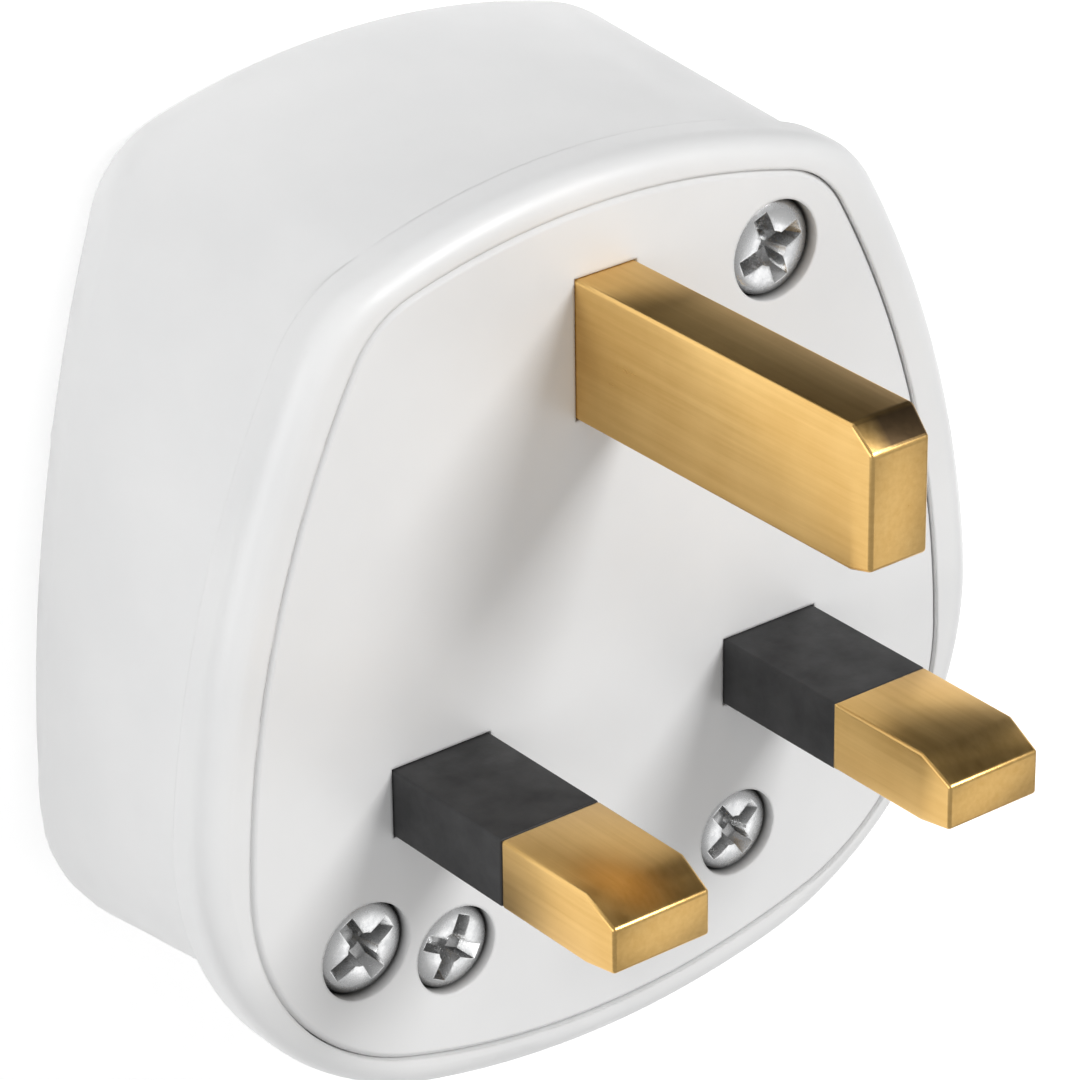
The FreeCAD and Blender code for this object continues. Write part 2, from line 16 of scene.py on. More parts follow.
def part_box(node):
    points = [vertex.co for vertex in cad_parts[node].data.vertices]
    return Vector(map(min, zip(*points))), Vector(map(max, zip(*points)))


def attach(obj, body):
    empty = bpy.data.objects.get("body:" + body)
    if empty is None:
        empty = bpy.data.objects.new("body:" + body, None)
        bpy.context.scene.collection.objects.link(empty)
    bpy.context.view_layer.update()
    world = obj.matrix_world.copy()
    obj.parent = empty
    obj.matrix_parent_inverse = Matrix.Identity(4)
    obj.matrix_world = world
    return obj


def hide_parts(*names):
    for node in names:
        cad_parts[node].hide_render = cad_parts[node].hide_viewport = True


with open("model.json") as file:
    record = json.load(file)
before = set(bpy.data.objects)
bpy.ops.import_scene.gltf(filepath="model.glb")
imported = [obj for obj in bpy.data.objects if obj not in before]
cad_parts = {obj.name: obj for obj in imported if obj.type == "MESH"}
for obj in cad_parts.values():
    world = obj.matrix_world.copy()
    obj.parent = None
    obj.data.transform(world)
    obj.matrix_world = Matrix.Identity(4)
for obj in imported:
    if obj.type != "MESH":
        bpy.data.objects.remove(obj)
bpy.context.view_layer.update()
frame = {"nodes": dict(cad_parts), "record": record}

print("solids loaded:", len(frame["nodes"]))

# %% [markdown]
# ## Camera
#
# A camera can be aimed by a target, or given its own three axes. The plug is seen from above
# one shoulder with the picture turned so that the earth pin is on top, so its axes are written
# out: right, up and back, and the place where it stands. A long lens keeps the pins' edges
# almost parallel.

# %% Camera
picture_right = Vector((0.787354, -0.011998, 0.616385))
picture_up = Vector((0.293007, 0.886954, -0.357015))
towards_camera = picture_right.cross(picture_up)
camera_place = Vector((-0.156269, 0.13474, 0.220912))

camera_data = bpy.data.cameras.new("camera")
camera_data.lens = 180.43
camera_data.sensor_width = 36.0
camera_data.clip_start = 0.01
camera_data.clip_end = 20.0
camera = bpy.data.objects.new("camera", camera_data)
bpy.context.scene.collection.objects.link(camera)
axes = Matrix((picture_right, picture_up, towards_camera)).transposed()
camera.matrix_world = Matrix.Translation(camera_place) @ axes.to_4x4()
bpy.context.scene.camera = camera
print("camera stands", round(camera_place.length * 1000), "mm away")

# %% [markdown]
# ## Small tools for materials
#
# Every finish below is made of nodes: noise that reads Object coordinates, so that a pattern
# has its real size in metres and stays on its piece. These helpers add a node and join its
# sockets, which keeps each finish to a few readable lines.

# %% Node helpers
NOISE_LOW, NOISE_HIGH = 0.3, 0.7      # where nearly all fractal noise lies
MASK_SAMPLES = 3                      # enough for the masks below, and quick


def new_finish(name):
    """an empty material with a Principled shader, and its node tree"""
    finish = bpy.data.materials.new(name)
    finish.use_nodes = True
    tree = finish.node_tree
    return finish, tree, tree.nodes["Principled BSDF"]


def add_node(tree, kind, values=None, **settings):
    """a node with its properties and its unlinked inputs set"""
    node = tree.nodes.new(kind)
    for name, value in settings.items():
        setattr(node, name, value)
    for name, value in (values or {}).items():
        node.inputs[name].default_value = value
    return node


def stretched_place(tree, scale):
    """Object coordinates, stretched along each axis"""
    place = add_node(tree, "ShaderNodeTexCoord")
    mapping = add_node(tree, "ShaderNodeMapping", {"Scale": scale})
    tree.links.new(place.outputs["Object"], mapping.inputs["Vector"])
    return mapping.outputs["Vector"]


def noise(tree, place, scale, detail=4.0, roughness=0.55):
    """fractal noise between about NOISE_LOW and NOISE_HIGH; scale is in cells per metre"""
    node = add_node(tree, "ShaderNodeTexNoise",
                    {"Scale": scale, "Detail": detail, "Roughness": roughness})
    tree.links.new(place, node.inputs["Vector"])
    return node.outputs["Fac"]


def spread(tree, value, low, high):
    """noise stretched out to run from low to high"""
    node = add_node(tree, "ShaderNodeMapRange",
                    {"From Min": NOISE_LOW, "From Max": NOISE_HIGH, "To Min": low, "To Max": high})
    tree.links.new(value, node.inputs["Value"])
    return node.outputs["Result"]


def shade_between(tree, value, dark, light):
    """a colour ramp driven by noise"""
    node = add_node(tree, "ShaderNodeValToRGB")
    node.color_ramp.elements[0].position = NOISE_LOW
    node.color_ramp.elements[0].color = (*dark, 1)
    node.color_ramp.elements[1].position = NOISE_HIGH
    node.color_ramp.elements[1].color = (*light, 1)
    tree.links.new(value, node.inputs["Fac"])
    return node.outputs["Color"]


def bump(tree, shader, value, height, strength=1.0, before=None):
    """fine relief of a real height in metres"""
    node = add_node(tree, "ShaderNodeBump", {"Strength": strength, "Distance": height})
    tree.links.new(value, node.inputs["Height"])
    if before is not None:
        tree.links.new(before, node.inputs["Normal"])
    tree.links.new(node.outputs["Normal"], shader.inputs["Normal"])
    return node.outputs["Normal"]


def soft_edges(tree, radius, gain):
    """a normal that rolls over the edges, and a mask: 0 on flat faces and up to gain where it leans"""
    upright, leaning = 0.995, 0.80        # cosines of the lean where the mask starts and is full
    rounded = add_node(tree, "ShaderNodeBevel", {"Radius": radius}, samples=MASK_SAMPLES)
    true = add_node(tree, "ShaderNodeNewGeometry")
    lean = add_node(tree, "ShaderNodeVectorMath", operation="DOT_PRODUCT")
    tree.links.new(rounded.outputs["Normal"], lean.inputs[0])
    tree.links.new(true.outputs["True Normal"], lean.inputs[1])
    node = add_node(tree, "ShaderNodeMapRange",
                    {"From Min": upright, "From Max": leaning, "To Min": 0.0, "To Max": gain})
    tree.links.new(lean.outputs["Value"], node.inputs["Value"])
    return rounded.outputs["Normal"], node.outputs["Result"]


def hollow_shade_mask(tree, reach, gain):
    """0 in the open and up to gain in hollows: a mask for painted shade"""
    open_air, closed_in = 0.95, 0.35      # shares of free directions where the mask starts and is full
    node = add_node(tree, "ShaderNodeAmbientOcclusion", {"Distance": reach}, samples=MASK_SAMPLES)
    turned = add_node(tree, "ShaderNodeMapRange",
                      {"From Min": open_air, "From Max": closed_in, "To Min": 0.0, "To Max": gain})
    tree.links.new(node.outputs["AO"], turned.inputs["Value"])
    return turned.outputs["Result"]


def step(tree, value, start, end):
    """0 before start and 1 after end"""
    node = add_node(tree, "ShaderNodeMapRange", {"From Min": start, "From Max": end})
    tree.links.new(value, node.inputs["Value"])
    return node.outputs["Result"]


def combined(tree, kind, values):
    """several values joined by one kind of sum"""
    result = values[0]
    for value in values[1:]:
        node = add_node(tree, "ShaderNodeMath", operation=kind)
        tree.links.new(result, node.inputs[0])
        tree.links.new(value, node.inputs[1])
        result = node.outputs[0]
    return result


def near_axes(tree, axes, radius):
    """1 within a radius of upright axes through (x, y), and 0 from a tenth further out"""
    fade_out = 1.1 * radius
    flat = stretched_place(tree, (1, 1, 0))
    inside = []
    for x, y in axes:
        away = add_node(tree, "ShaderNodeVectorMath", operation="DISTANCE")
        tree.links.new(flat, away.inputs[0])
        away.inputs[1].default_value = (x, y, 0)
        inside.append(step(tree, away.outputs["Value"], fade_out, radius))
    return combined(tree, "MAXIMUM", inside)


def mixed(tree, factor, first, second):
    """a blend of two colours, each a socket or a plain colour"""
    node = add_node(tree, "ShaderNodeMix", data_type="RGBA")
    tree.links.new(factor, node.inputs[0])
    for value, socket in ((first, node.inputs[6]), (second, node.inputs[7])):
        if isinstance(value, tuple):
            socket.default_value = (*value, 1)
        else:
            tree.links.new(value, socket)
    return node.outputs[2]


def less_by(tree, value, loss):
    """a value made smaller by a mask"""
    node = add_node(tree, "ShaderNodeMath", operation="SUBTRACT", use_clamp=True)
    tree.links.new(value, node.inputs[0])
    tree.links.new(loss, node.inputs[1])
    return node.outputs[0]


# %% [markdown]
# ## Moulded plastic
#
# Such a plug is pressed from a white thermosetting plastic. Its skin copies the steel of the
# mould: satin, with a very fine grain, faint flow clouds in its gloss and hardly any change of
# colour; edges are glossier from handling and a little lighter in colour, a painted highlight.
# A little light enters the skin and comes out again close by, which takes the hardness out of
# small shadows. The edges could be rolled in the mesh; here the shader's own Bevel node rolls
# them, as the mouldings have many thin walls. The walls of the screw bores get painted shade: a
# mask darkens them. One recipe with a few numbers serves the cover, the base and the clamp bar.

# %% White plastic recipe
# lighter white of the edges: a painted highlight
EDGE_HIGHLIGHT_WHITE = (0.86, 0.86, 0.86)
# grey of the painted shade on the screw bore walls
BORE_SHADE_GREY = (0.19, 0.19, 0.19)
ROLLED_EDGE = 0.00025                 # metres, as all lengths
LIGHT_DEPTH = 0.0004                  # how far light travels under the skin


def white_plastic(name, dark, light, gloss_low, gloss_high, grain, painted_shade_of=None):
    """a satin white moulding; the last argument gives a mask of painted shade"""
    cloud_cells, flow_cells, wave_cells, grain_cells = 90.0, 260.0, 140.0, 5200.0
    wave_height = 0.00003
    finish, tree, shader = new_finish(name)
    place = stretched_place(tree, (1, 1, 1))
    clouds = noise(tree, place, cloud_cells, 3.0)
    soft, edges = soft_edges(tree, ROLLED_EDGE, 0.10)
    # edges lighter in colour: a painted highlight; their extra gloss below is from handling
    colour = mixed(tree, edges, shade_between(tree, clouds, dark, light), EDGE_HIGHLIGHT_WHITE)
    # painted shade: the mask darkens the colour towards grey
    if painted_shade_of is not None:
        colour = mixed(tree, painted_shade_of(tree), colour, BORE_SHADE_GREY)
    tree.links.new(colour, shader.inputs["Base Color"])
    shader.inputs["Subsurface Weight"].default_value = 0.3
    shader.inputs["Subsurface Radius"].default_value = (1, 1, 1)
    shader.inputs["Subsurface Scale"].default_value = LIGHT_DEPTH
    flow = noise(tree, stretched_place(tree, (1, 0.35, 1)), flow_cells, 3.0)
    gloss = spread(tree, flow, gloss_low, gloss_high)
    tree.links.new(less_by(tree, gloss, edges), shader.inputs["Roughness"])
    shader.inputs["IOR"].default_value = 1.5
    waves = bump(tree, shader, noise(tree, place, wave_cells, 2.0), wave_height, 0.35, soft)
    bump(tree, shader, noise(tree, place, grain_cells, 1.0), grain, 0.6, waves)
    return finish


# %% White plastic finishes
def bore_painted_shade(tree):
    """painted shade on the walls of the four screw bores, from just under the face to their floors"""
    bore_radius = 0.0029
    shade_starts, shade_full = 0.00002, 0.0008
    floor_near, floor_reached = 0.0026, 0.0032
    middles = []
    for node in ("cover_screw_upper", "cover_screw_lower",
                 "cord_grip_screw_left", "cord_grip_screw_right"):
        low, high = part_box(node)
        middles.append(((low[0] + high[0]) / 2, (low[1] + high[1]) / 2))
    place = add_node(tree, "ShaderNodeSeparateXYZ")
    tree.links.new(stretched_place(tree, (1, 1, 1)), place.inputs[0])
    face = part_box("base_plate")[1][2]
    below = step(tree, place.outputs["Z"], face - shade_starts, face - shade_full)
    above = step(tree, place.outputs["Z"], face - floor_reached, face - floor_near)
    return combined(tree, "MULTIPLY", [near_axes(tree, middles, bore_radius), below, above])


fine_grain, coarse_grain = 0.000004, 0.000008
cover_white = white_plastic("cover_white", (0.775, 0.778, 0.780), (0.815, 0.816, 0.815), 0.30, 0.44,
                            fine_grain)
base_white = white_plastic("base_white", (0.780, 0.782, 0.784), (0.815, 0.816, 0.816), 0.32, 0.46,
                           fine_grain, bore_painted_shade)
bar_white = white_plastic("bar_white", (0.74, 0.74, 0.73), (0.79, 0.79, 0.78), 0.45, 0.58,
                          coarse_grain)
print("white finishes:", cover_white.name, base_white.name, bar_white.name)

# %% [markdown]
# ## Black sleeve plastic
#
# The sleeves are a tougher nylon, nearly black and matt. Handling leaves slightly lighter and
# smoother patches, so colour and roughness both follow a broad noise, and a faint grey wear
# along the edges.

# %% Sleeve finish
worn_grey = (0.060, 0.060, 0.060)
sleeve_black, tree, shader = new_finish("sleeve_black")
place = stretched_place(tree, (1, 1, 1))
patches = noise(tree, place, 420.0, 5.0)
edges = soft_edges(tree, 0.00020, 0.5)[1]
nylon = shade_between(tree, patches, (0.019, 0.019, 0.020), (0.032, 0.032, 0.033))
tree.links.new(mixed(tree, edges, nylon, worn_grey), shader.inputs["Base Color"])
tree.links.new(spread(tree, patches, 0.62, 0.46), shader.inputs["Roughness"])
shader.inputs["Specular IOR Level"].default_value = 0.36
bump(tree, shader, noise(tree, place, 4200.0, 4.0), 0.000008, 0.8)
print("sleeve finish:", sleeve_black.name)

# %% [markdown]
# ## Brass
#
# The pins are cut from drawn brass bar and linished along their length. That leaves fine lines
# that run with the pin, so the noise is squeezed across and stretched along Z. A broad warm
# cloud stands for the light tarnish of handled brass. Lines and cloud together vary colour and
# gloss a little: a wider range of gloss would show as dark specks wherever the brass mirrors
# something dark. Edges are rubbed brighter than the faces. The upper bevel of the long pin's
# tip gets painted shade on one half: a dark reflection painted into its colour.

# %% Brass recipe
# colour of the painted shade on the long pin's tip
TIP_SHADE_COLOUR = (0.16, 0.105, 0.055)
WORN_GAIN = 1.12                      # how much brighter rubbed edges are


def tip_painted_shade(tree):
    """a mask of painted shade: high up, facing up the picture, and on the right half"""
    low_end, high_end = 0.0455, 0.0460
    leans_up, faces_up = 0.45, 0.65
    left_end, right_end = -0.0016, -0.0004
    place = add_node(tree, "ShaderNodeSeparateXYZ")
    tree.links.new(stretched_place(tree, (1, 1, 1)), place.inputs[0])
    facing = add_node(tree, "ShaderNodeSeparateXYZ")
    shape = add_node(tree, "ShaderNodeNewGeometry")
    tree.links.new(shape.outputs["True Normal"], facing.inputs[0])
    return combined(tree, "MULTIPLY", [step(tree, place.outputs["Z"], low_end, high_end),
                                       step(tree, facing.outputs["Y"], leans_up, faces_up),
                                       step(tree, place.outputs["X"], left_end, right_end)])


def brass(name, dark, light, along, gloss_low, gloss_high):
    """drawn or turned brass; along is the stretch of its fine lines"""
    line_cells, cloud_cells = 2600.0, 170.0
    line_height = 0.00002
    rubbed_width = 0.00035
    extra_polish = 0.04                   # how much smoother rubbed edges are
    finish, tree, shader = new_finish(name)
    shader.inputs["Metallic"].default_value = 1.0
    lines = noise(tree, stretched_place(tree, along), line_cells, 4.0, 0.60)
    clouds = noise(tree, stretched_place(tree, (1, 1, 1)), cloud_cells, 5.0, 0.6)
    edges = soft_edges(tree, rubbed_width, 0.6)[1]
    worn = tuple(min(1.0, WORN_GAIN * value) for value in light)
    blend = add_node(tree, "ShaderNodeMix", {"Factor": 0.5})
    tree.links.new(lines, blend.inputs[2])
    tree.links.new(clouds, blend.inputs[3])
    metal = mixed(tree, edges, shade_between(tree, blend.outputs[0], dark, light), worn)
    # painted shade: the tip's upper bevel darkened as if it mirrored something dark
    tree.links.new(mixed(tree, tip_painted_shade(tree), metal, TIP_SHADE_COLOUR), shader.inputs["Base Color"])
    polish = add_node(tree, "ShaderNodeMath", operation="MULTIPLY")
    tree.links.new(edges, polish.inputs[0])
    polish.inputs[1].default_value = extra_polish
    gloss = spread(tree, blend.outputs[0], gloss_low, gloss_high)
    tree.links.new(less_by(tree, gloss, polish.outputs[0]), shader.inputs["Roughness"])
    bump(tree, shader, lines, line_height, 0.3)
    return finish


# %% Brass finishes
pin_brass = brass("pin_brass", (0.60, 0.36, 0.112), (0.77, 0.510, 0.195), (1, 1, 0.025), 0.27, 0.33)
turned_brass = brass("turned_brass", (0.60, 0.38, 0.14), (0.76, 0.52, 0.22), (1, 1, 1.6), 0.22, 0.36)
strip_brass = brass("strip_brass", (0.58, 0.36, 0.12), (0.72, 0.48, 0.19), (0.2, 1, 1), 0.28, 0.44)
print("brass finishes:", pin_brass.name, turned_brass.name, strip_brass.name)

# %% [markdown]
# ## Bright metal and the small inner finishes
#
# The face screws are nickel plated steel: bright, with tiny scuffs from the driver, and darker in
# the recess, where the punch leaves a rough skin; the darkening is painted shade from a mask of
# hollows. Inside are plated fuse caps, an unglazed ceramic tube, a bare wire and red fibre keepers.

# %% Plated and dull recipes
RUBBED_PLATE = (0.90, 0.90, 0.89)
# grey of the painted shade in hollows
HOLLOW_SHADE_GREY = (0.25, 0.25, 0.25)


def plated(name, dark, light, gloss_low, gloss_high):
    """plated steel: scuffed, rubbed at its edges, and darkened in its hollows by painted shade"""
    scuff_cells, pit_cells = 1500.0, 3800.0
    hollow_reach = 0.0016
    finish, tree, shader = new_finish(name)
    shader.inputs["Metallic"].default_value = 1.0
    place = stretched_place(tree, (1, 1, 1))
    scuffs = noise(tree, place, scuff_cells, 6.0, 0.7)
    edges = soft_edges(tree, 0.00012, 0.5)[1]
    clean = mixed(tree, edges, shade_between(tree, scuffs, dark, light), RUBBED_PLATE)
    # painted shade: hollows darkened towards grey
    hollow_shaded = mixed(tree, hollow_shade_mask(tree, hollow_reach, 0.80), clean, HOLLOW_SHADE_GREY)
    tree.links.new(hollow_shaded, shader.inputs["Base Color"])
    tree.links.new(spread(tree, scuffs, gloss_high, gloss_low), shader.inputs["Roughness"])
    bump(tree, shader, noise(tree, place, pit_cells, 4.0), 0.000005, 0.5)
    return finish


def dull(name, dark, light, scale, gloss, relief):
    """ceramic or fibre: specks of a scale, a mean roughness and a relief in metres"""
    finish, tree, shader = new_finish(name)
    place = stretched_place(tree, (1, 1, 1))
    specks = noise(tree, place, scale, 6.0, 0.65)
    tree.links.new(shade_between(tree, specks, dark, light), shader.inputs["Base Color"])
    tree.links.new(spread(tree, specks, gloss - 0.06, gloss + 0.06), shader.inputs["Roughness"])
    bump(tree, shader, specks, relief, 0.6)
    return finish


# %% Plated, ceramic and fibre finishes
screw_nickel = plated("screw_nickel", (0.76, 0.77, 0.78), (0.90, 0.90, 0.90), 0.18, 0.34)
cap_plate = plated("cap_plate", (0.62, 0.62, 0.60), (0.78, 0.78, 0.76), 0.18, 0.32)
wire_metal = plated("wire_metal", (0.45, 0.45, 0.45), (0.62, 0.62, 0.62), 0.30, 0.45)
fuse_ceramic = dull("fuse_ceramic", (0.70, 0.68, 0.62), (0.80, 0.78, 0.73), 1400.0, 0.72, 0.000010)
keeper_fibre = dull("keeper_fibre", (0.20, 0.035, 0.025), (0.33, 0.07, 0.05), 2600.0, 0.80, 0.000020)
print("other finishes:", screw_nickel.name, cap_plate.name, wire_metal.name, fuse_ceramic.name,
      keeper_fibre.name)

# %% Give every solid its finish
finish_of_slot = {"cover_moulding": cover_white, "base_moulding": base_white, "grip_moulding": bar_white,
                  "sleeve": sleeve_black, "pin_brass": pin_brass, "terminal_brass": turned_brass,
                  "terminal_screw": turned_brass, "insert_brass": turned_brass, "spring_clip": strip_brass,
                  "plated_screw": screw_nickel, "fuse_cap": cap_plate, "fuse_wire": wire_metal,
                  "fuse_ceramic": fuse_ceramic, "fibre": keeper_fibre}
slot_of_node = {part["node"]: part["material_slot"] for part in frame["record"]["subparts"]}


def dress(piece, slot):
    """one finish on the whole piece"""
    piece.data.materials.clear()
    piece.data.materials.append(finish_of_slot[slot])


for name, solid in frame["nodes"].items():
    dress(solid, slot_of_node[name])
print("solids dressed:", len(frame["nodes"]))

# %% [markdown]
# ## Rounder edges for pins and sleeves
#
# Real brass and plastic never end in a perfectly sharp edge: a pin is tumbled, a moulding
# leaves its tool with a small radius, and that thin rounding is what catches the light. It
# could be modelled in the solids, at the price of many facets. The solids are sharp, so each of
# these pieces is copied, its loose triangles are merged into flat faces, and a Bevel modifier
# rolls its edges. The copy stands for the solid.

# %% Copy tools
MERGE_WITHIN = 0.000002               # metres
FLAT_WITHIN = 0.5                     # degrees
SMOOTH_UNDER = 38                     # degrees, for the rolled copies


def only(piece):
    """select one piece and make it active"""
    bpy.ops.object.select_all(action="DESELECT")
    piece.select_set(True)
    bpy.context.view_layer.objects.active = piece


def cleaned_copy(node, name):
    """a copy of a solid with shared corners and flat faces in one piece"""
    piece = bpy.data.objects.new(name, frame["nodes"][node].data.copy())
    bpy.context.scene.collection.objects.link(piece)
    only(piece)
    if piece.data.has_custom_normals:
        bpy.ops.mesh.customdata_custom_splitnormals_clear()
    bpy.ops.object.mode_set(mode="EDIT")
    bpy.ops.mesh.select_all(action="SELECT")
    bpy.ops.mesh.remove_doubles(threshold=MERGE_WITHIN)
    bpy.ops.mesh.dissolve_limited(angle_limit=math.radians(FLAT_WITHIN))
    bpy.ops.object.mode_set(mode="OBJECT")
    return piece


def roll_edges(piece, radius, steps, sharp):
    """a small radius on every edge sharper than an angle in degrees"""
    only(piece)
    rolled = piece.modifiers.new("rolled_edges", "BEVEL")
    rolled.width = radius
    rolled.segments = steps
    rolled.limit_method = "ANGLE"
    rolled.angle_limit = math.radians(sharp)
    rolled.use_clamp_overlap = False
    bpy.ops.object.modifier_apply(modifier=rolled.name)
    bpy.ops.object.shade_smooth_by_angle(angle=math.radians(SMOOTH_UNDER))


def stand_for(piece, *nodes):
    """the piece rides on the plug and takes the place of solids"""
    slot = slot_of_node[nodes[0]]
    dress(piece, slot)
    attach(piece, "root")
    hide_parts(*nodes)
    print(piece.name, "faces:", len(piece.data.polygons))


# %% Pins and sleeves
for node, name, radius in (("earth_pin", "earth_pin_rounded", 0.00022),
                           ("neutral_pin", "neutral_pin_rounded", 0.00020),
                           ("line_pin", "line_pin_rounded", 0.00020),
                           ("neutral_sleeve", "neutral_sleeve_rounded", 0.00016),
                           ("line_sleeve", "line_sleeve_rounded", 0.00016)):
    piece = cleaned_copy(node, name)
    roll_edges(piece, radius, steps=3, sharp=30)
    stand_for(piece, node)

# %% [markdown]
# ## Face screws
#
# Four screws show on the face. A real one is headed and thread-rolled from steel wire: a low
# domed head with a cross recess struck into it by a punch, a plain neck and a rolled thread.
# It could be a turned profile, or a stack of cylinders. Here a disc is pushed up along the
# profile ring by ring, from the tip to the crown, so head, neck and thread are one skin. The
# punch is three tapered cutters: two flat arms and a round middle. Each size is made once; the
# second screw of a size is a copy with its own turn, as no two screws stop at the same angle.

# %% Push a disc up along a profile
ROUND_SIDES = 56


def pushed_up(name, profile):
    """a closed round body: (radius, height) pairs in metres from the bottom to the top"""
    bpy.ops.object.select_all(action="DESELECT")
    first_radius, first_height = profile[0]
    bpy.ops.mesh.primitive_circle_add(vertices=ROUND_SIDES, radius=first_radius, fill_type="NGON",
                                      location=(0, 0, first_height))
    piece = bpy.context.active_object
    piece.name = name
    bpy.ops.object.transform_apply(location=True, rotation=True, scale=True)
    bpy.ops.object.mode_set(mode="EDIT")
    bpy.ops.mesh.select_all(action="SELECT")
    bpy.ops.mesh.flip_normals()
    radius, height = first_radius, first_height
    for next_radius, next_height in profile[1:]:
        bpy.ops.mesh.extrude_region_move(TRANSFORM_OT_translate={"value": (0, 0, next_height - height)})
        ratio = next_radius / radius
        bpy.ops.transform.resize(value=(ratio, ratio, 1), center_override=(0, 0, next_height))
        radius, height = next_radius, next_height
    bpy.ops.mesh.select_all(action="SELECT")
    bpy.ops.mesh.normals_make_consistent(inside=False)
    bpy.ops.object.mode_set(mode="OBJECT")
    return piece


# %% Profile of a face screw
def screw_profile(head, head_high, shank, long, pitch):
    """tip, rolled thread, plain neck, and a low domed head; the seat of the head is at height 0"""
    tip, root, neck = 0.72 * shank, 0.84 * shank, 0.92 * shank
    thread_end, neck_start = -0.40 * long, -0.36 * long
    seat_edge, seat_bevel = 0.985 * head, 0.06 * head_high
    side_share, dome_share = 0.78, 0.26   # of the head's height
    fullness = 0.65                       # 1 would be a half ellipse; less keeps the dome broad
    dome_rings = 8
    profile = [(tip, -long), (0.90 * shank, -long + 0.5 * pitch)]
    level = -long + pitch
    while level < thread_end:
        profile.append((shank, level))
        profile.append((root, level + 0.5 * pitch))
        level += pitch
    profile.append((neck, neck_start))
    profile.append((neck, -0.00002))
    profile.append((seat_edge, 0))
    profile.append((head, seat_bevel))
    profile.append((head, side_share * head_high))
    for ring in range(1, dome_rings):
        lean = math.radians(90 * ring / dome_rings)
        profile.append((head * math.cos(lean) ** fullness,
                        head_high * (side_share + dome_share * math.sin(lean))))
    return profile


# %% Strike the cross recess
def tapered_cutter(sides, mouth, foot, slim, turn, top, deep):
    """a punch that narrows downwards; slim squeezes it into a flat arm"""
    bpy.ops.object.select_all(action="DESELECT")
    bpy.ops.mesh.primitive_cone_add(vertices=sides, radius1=foot, radius2=mouth, depth=deep,
                                    location=(0, 0, top - deep / 2))
    cutter = bpy.context.active_object
    bpy.ops.object.transform_apply(location=True, rotation=True, scale=True)
    bpy.ops.object.mode_set(mode="EDIT")
    bpy.ops.mesh.select_all(action="SELECT")
    bpy.ops.transform.rotate(value=math.radians(45), orient_axis="Z", center_override=(0, 0, 0))
    bpy.ops.transform.resize(value=(1, slim, 1), center_override=(0, 0, 0))
    bpy.ops.transform.rotate(value=math.radians(turn), orient_axis="Z", center_override=(0, 0, 0))
    bpy.ops.object.mode_set(mode="OBJECT")
    return cutter


def strike(piece, cutters):
    """cut each punch out of the piece and drop the punch"""
    for cutter in cutters:
        only(piece)
        cut = piece.modifiers.new("recess", "BOOLEAN")
        cut.operation = "DIFFERENCE"
        cut.solver = "EXACT"
        cut.object = cutter
        bpy.ops.object.modifier_apply(modifier=cut.name)
        only(cutter)
        bpy.ops.object.delete()


# %% Make a face screw
def face_screw(name, head, head_high, shank, long, pitch):
    """one whole screw with its head's seat on the origin"""
    edge_roll, sharp_over, smooth_under = 0.00005, 35, 32     # metres, then degrees
    piece = pushed_up(name, screw_profile(head, head_high, shank, long, pitch))
    top = 1.12 * head_high
    arm = 1.16 * head
    arm_foot, arm_slim, arm_deep = 0.70 * arm, 0.23, 0.80 * head_high
    middle_mouth, middle_foot, middle_deep = 0.38 * head, 0.20 * head, 1.02 * head_high
    strike(piece, [tapered_cutter(4, arm, arm_foot, arm_slim, 0, top, arm_deep),
                   tapered_cutter(4, arm, arm_foot, arm_slim, 90, top, arm_deep),
                   tapered_cutter(24, middle_mouth, middle_foot, 1.0, 0, top, middle_deep)])
    only(piece)
    rolled = piece.modifiers.new("rolled_edges", "BEVEL")
    rolled.width = edge_roll
    rolled.segments = 2
    rolled.limit_method = "ANGLE"
    rolled.angle_limit = math.radians(sharp_over)
    bpy.ops.object.modifier_apply(modifier=rolled.name)
    bpy.ops.object.shade_smooth_by_angle(angle=math.radians(smooth_under))
    return piece


# %% Set the four screws
def set_screw(model, name, node, turn):
    """a copy of the model screw on the seat of a solid screw"""
    low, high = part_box(node)
    piece = bpy.data.objects.new(name, model.data.copy())
    bpy.context.scene.collection.objects.link(piece)
    only(piece)
    piece.rotation_euler = (0, 0, math.radians(turn))
    seat = high[2] - seat_below_top[model.name]
    piece.location = ((low[0] + high[0]) / 2, (low[1] + high[1]) / 2, seat)
    bpy.ops.object.transform_apply(location=True, rotation=True, scale=True)
    stand_for(piece, node)


seat_below_top = {"cover_screw_model": 0.0018, "grip_screw_model": 0.0016}
cover_model = face_screw("cover_screw_model", head=0.0027, head_high=0.0018, shank=0.00175,
                         long=0.01145, pitch=0.0008)
grip_model = face_screw("grip_screw_model", head=0.00245, head_high=0.0016, shank=0.00145,
                        long=0.01305, pitch=0.0007)
set_screw(cover_model, "cover_screw_upper_headed", "cover_screw_upper", turn=20)
set_screw(cover_model, "cover_screw_lower_headed", "cover_screw_lower", turn=28)
set_screw(grip_model, "grip_screw_left_headed", "cord_grip_screw_left", turn=62)
set_screw(grip_model, "grip_screw_right_headed", "cord_grip_screw_right", turn=35)
for model in (cover_model, grip_model):
    only(model)
    bpy.ops.object.delete()

# %% [markdown]
# ## Stage and light
#
# A plain white floor lies under the plug. To the camera, and in what metal mirrors, it reads
# as white paper; for the rest it is ordinary matt white that takes the plug's soft shadow. A
# pale sky does most of the work. The main soft box stands to the upper right of the picture,
# so that the pins throw soft shadows to the lower left over the face; one box brightens the end
# faces of the pins, and one the left flank. Three matt black cards beyond the earth pin, one
# standing and two lying, are what the upper faces and bevels of the brass mirror: metal looks
# like metal only when it has something dark to show.

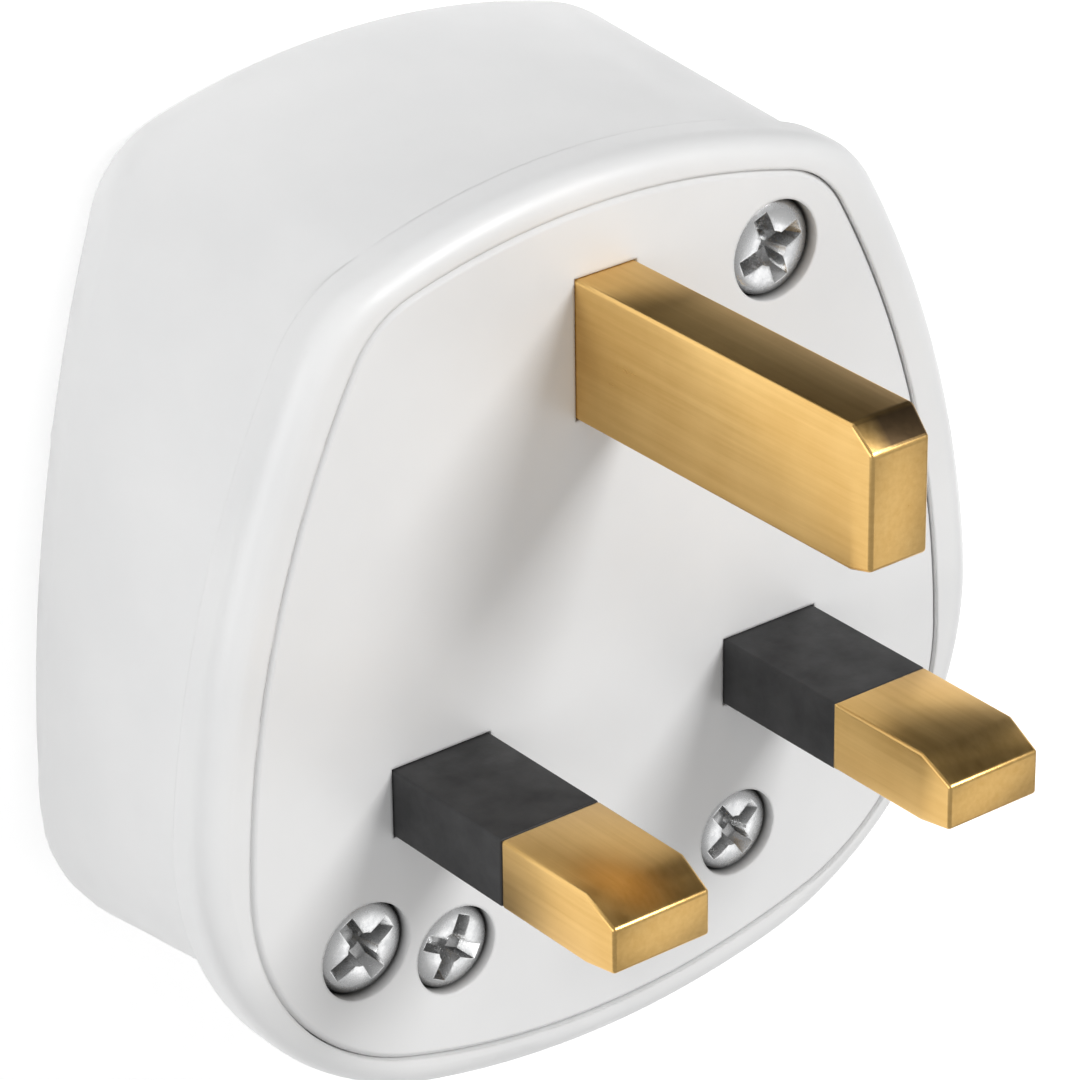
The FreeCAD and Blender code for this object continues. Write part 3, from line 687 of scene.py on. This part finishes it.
# %% Floor
paper_glow = 0.50
floor_below = 0.00002
floor_white, tree, shader = new_finish("floor_white")
shader.inputs["Base Color"].default_value = (0.86, 0.86, 0.86, 1)
shader.inputs["Roughness"].default_value = 0.9
shader.inputs["Specular IOR Level"].default_value = 0.1
paper = add_node(tree, "ShaderNodeEmission", {"Color": (1, 1, 1, 1)})
rays = add_node(tree, "ShaderNodeLightPath")
seen = rays.outputs["Is Camera Ray"]
for kind in ("Is Glossy Ray", "Is Transmission Ray"):
    either = add_node(tree, "ShaderNodeMath", operation="MAXIMUM")
    tree.links.new(seen, either.inputs[0])
    tree.links.new(rays.outputs[kind], either.inputs[1])
    seen = either.outputs[0]
glow = add_node(tree, "ShaderNodeMath", operation="MULTIPLY")
tree.links.new(seen, glow.inputs[0])
glow.inputs[1].default_value = paper_glow
tree.links.new(glow.outputs[0], paper.inputs["Strength"])
together = add_node(tree, "ShaderNodeAddShader")
tree.links.new(shader.outputs[0], together.inputs[0])
tree.links.new(paper.outputs[0], together.inputs[1])
tree.links.new(together.outputs[0], tree.nodes["Material Output"].inputs["Surface"])

bpy.ops.object.select_all(action="DESELECT")
bpy.ops.mesh.primitive_plane_add(size=6.0, location=(0, 0, -floor_below))
floor = bpy.context.active_object
floor.name = "floor"
floor.data.materials.append(floor_white)
print("floor:", floor.dimensions.x, "m wide")

# %% Dark cards
card_black, tree, shader = new_finish("card_black")
shader.inputs["Base Color"].default_value = (0.02, 0.02, 0.02, 1)
shader.inputs["Roughness"].default_value = 0.9


def dark_card(name, place, tilt, turn, wide, high):
    """a matt black card outside the picture"""
    bpy.ops.object.select_all(action="DESELECT")
    bpy.ops.mesh.primitive_plane_add(size=1.0, location=place,
                                     rotation=(math.radians(tilt), 0, math.radians(turn)))
    card = bpy.context.active_object
    card.name = name
    card.scale = (wide, high, 1)
    bpy.ops.object.transform_apply(location=False, rotation=False, scale=True)
    card.data.materials.append(card_black)


dark_card("standing_card", (0.33, 0.47, 0.20), tilt=90, turn=-35, wide=0.46, high=0.38)
dark_card("lying_card", (0.0725, 0.1112, 0.0005), tilt=0, turn=-15, wide=0.16, high=0.15)
dark_card("far_lying_card", (0.21, 0.32, 0.0010), tilt=0, turn=-35, wide=0.30, high=0.34)


# %% Lamps and sky
def soft_box(name, place, aim, size, watts):
    """a square area lamp that looks at a point"""
    lamp_data = bpy.data.lights.new(name, "AREA")
    lamp_data.size = size
    lamp_data.energy = watts
    lamp = bpy.data.objects.new(name, lamp_data)
    bpy.context.scene.collection.objects.link(lamp)
    lamp.location = place
    lamp.rotation_euler = (aim - Vector(place)).to_track_quat("-Z", "Y").to_euler()
    print(name, watts, "W")


middle = Vector((0, 0, 0.02))
soft_box("main_box", (0.272, 0.411, 0.650), middle, size=0.26, watts=3.6)
soft_box("end_box", (0.42, -0.38, 0.56), middle, size=0.34, watts=0.27)
soft_box("side_box", (-0.66, 0.14, 0.24), middle, size=0.50, watts=1.6)

sky = bpy.data.worlds.new("sky")
bpy.context.scene.world = sky
sky.use_nodes = True
sky.node_tree.nodes["Background"].inputs["Color"].default_value = (1, 1, 1, 1)
sky.node_tree.nodes["Background"].inputs["Strength"].default_value = 0.47

bpy.context.scene.view_settings.view_transform = "Standard"
print("stage:", len(bpy.data.lights), "lamps and a pale sky")
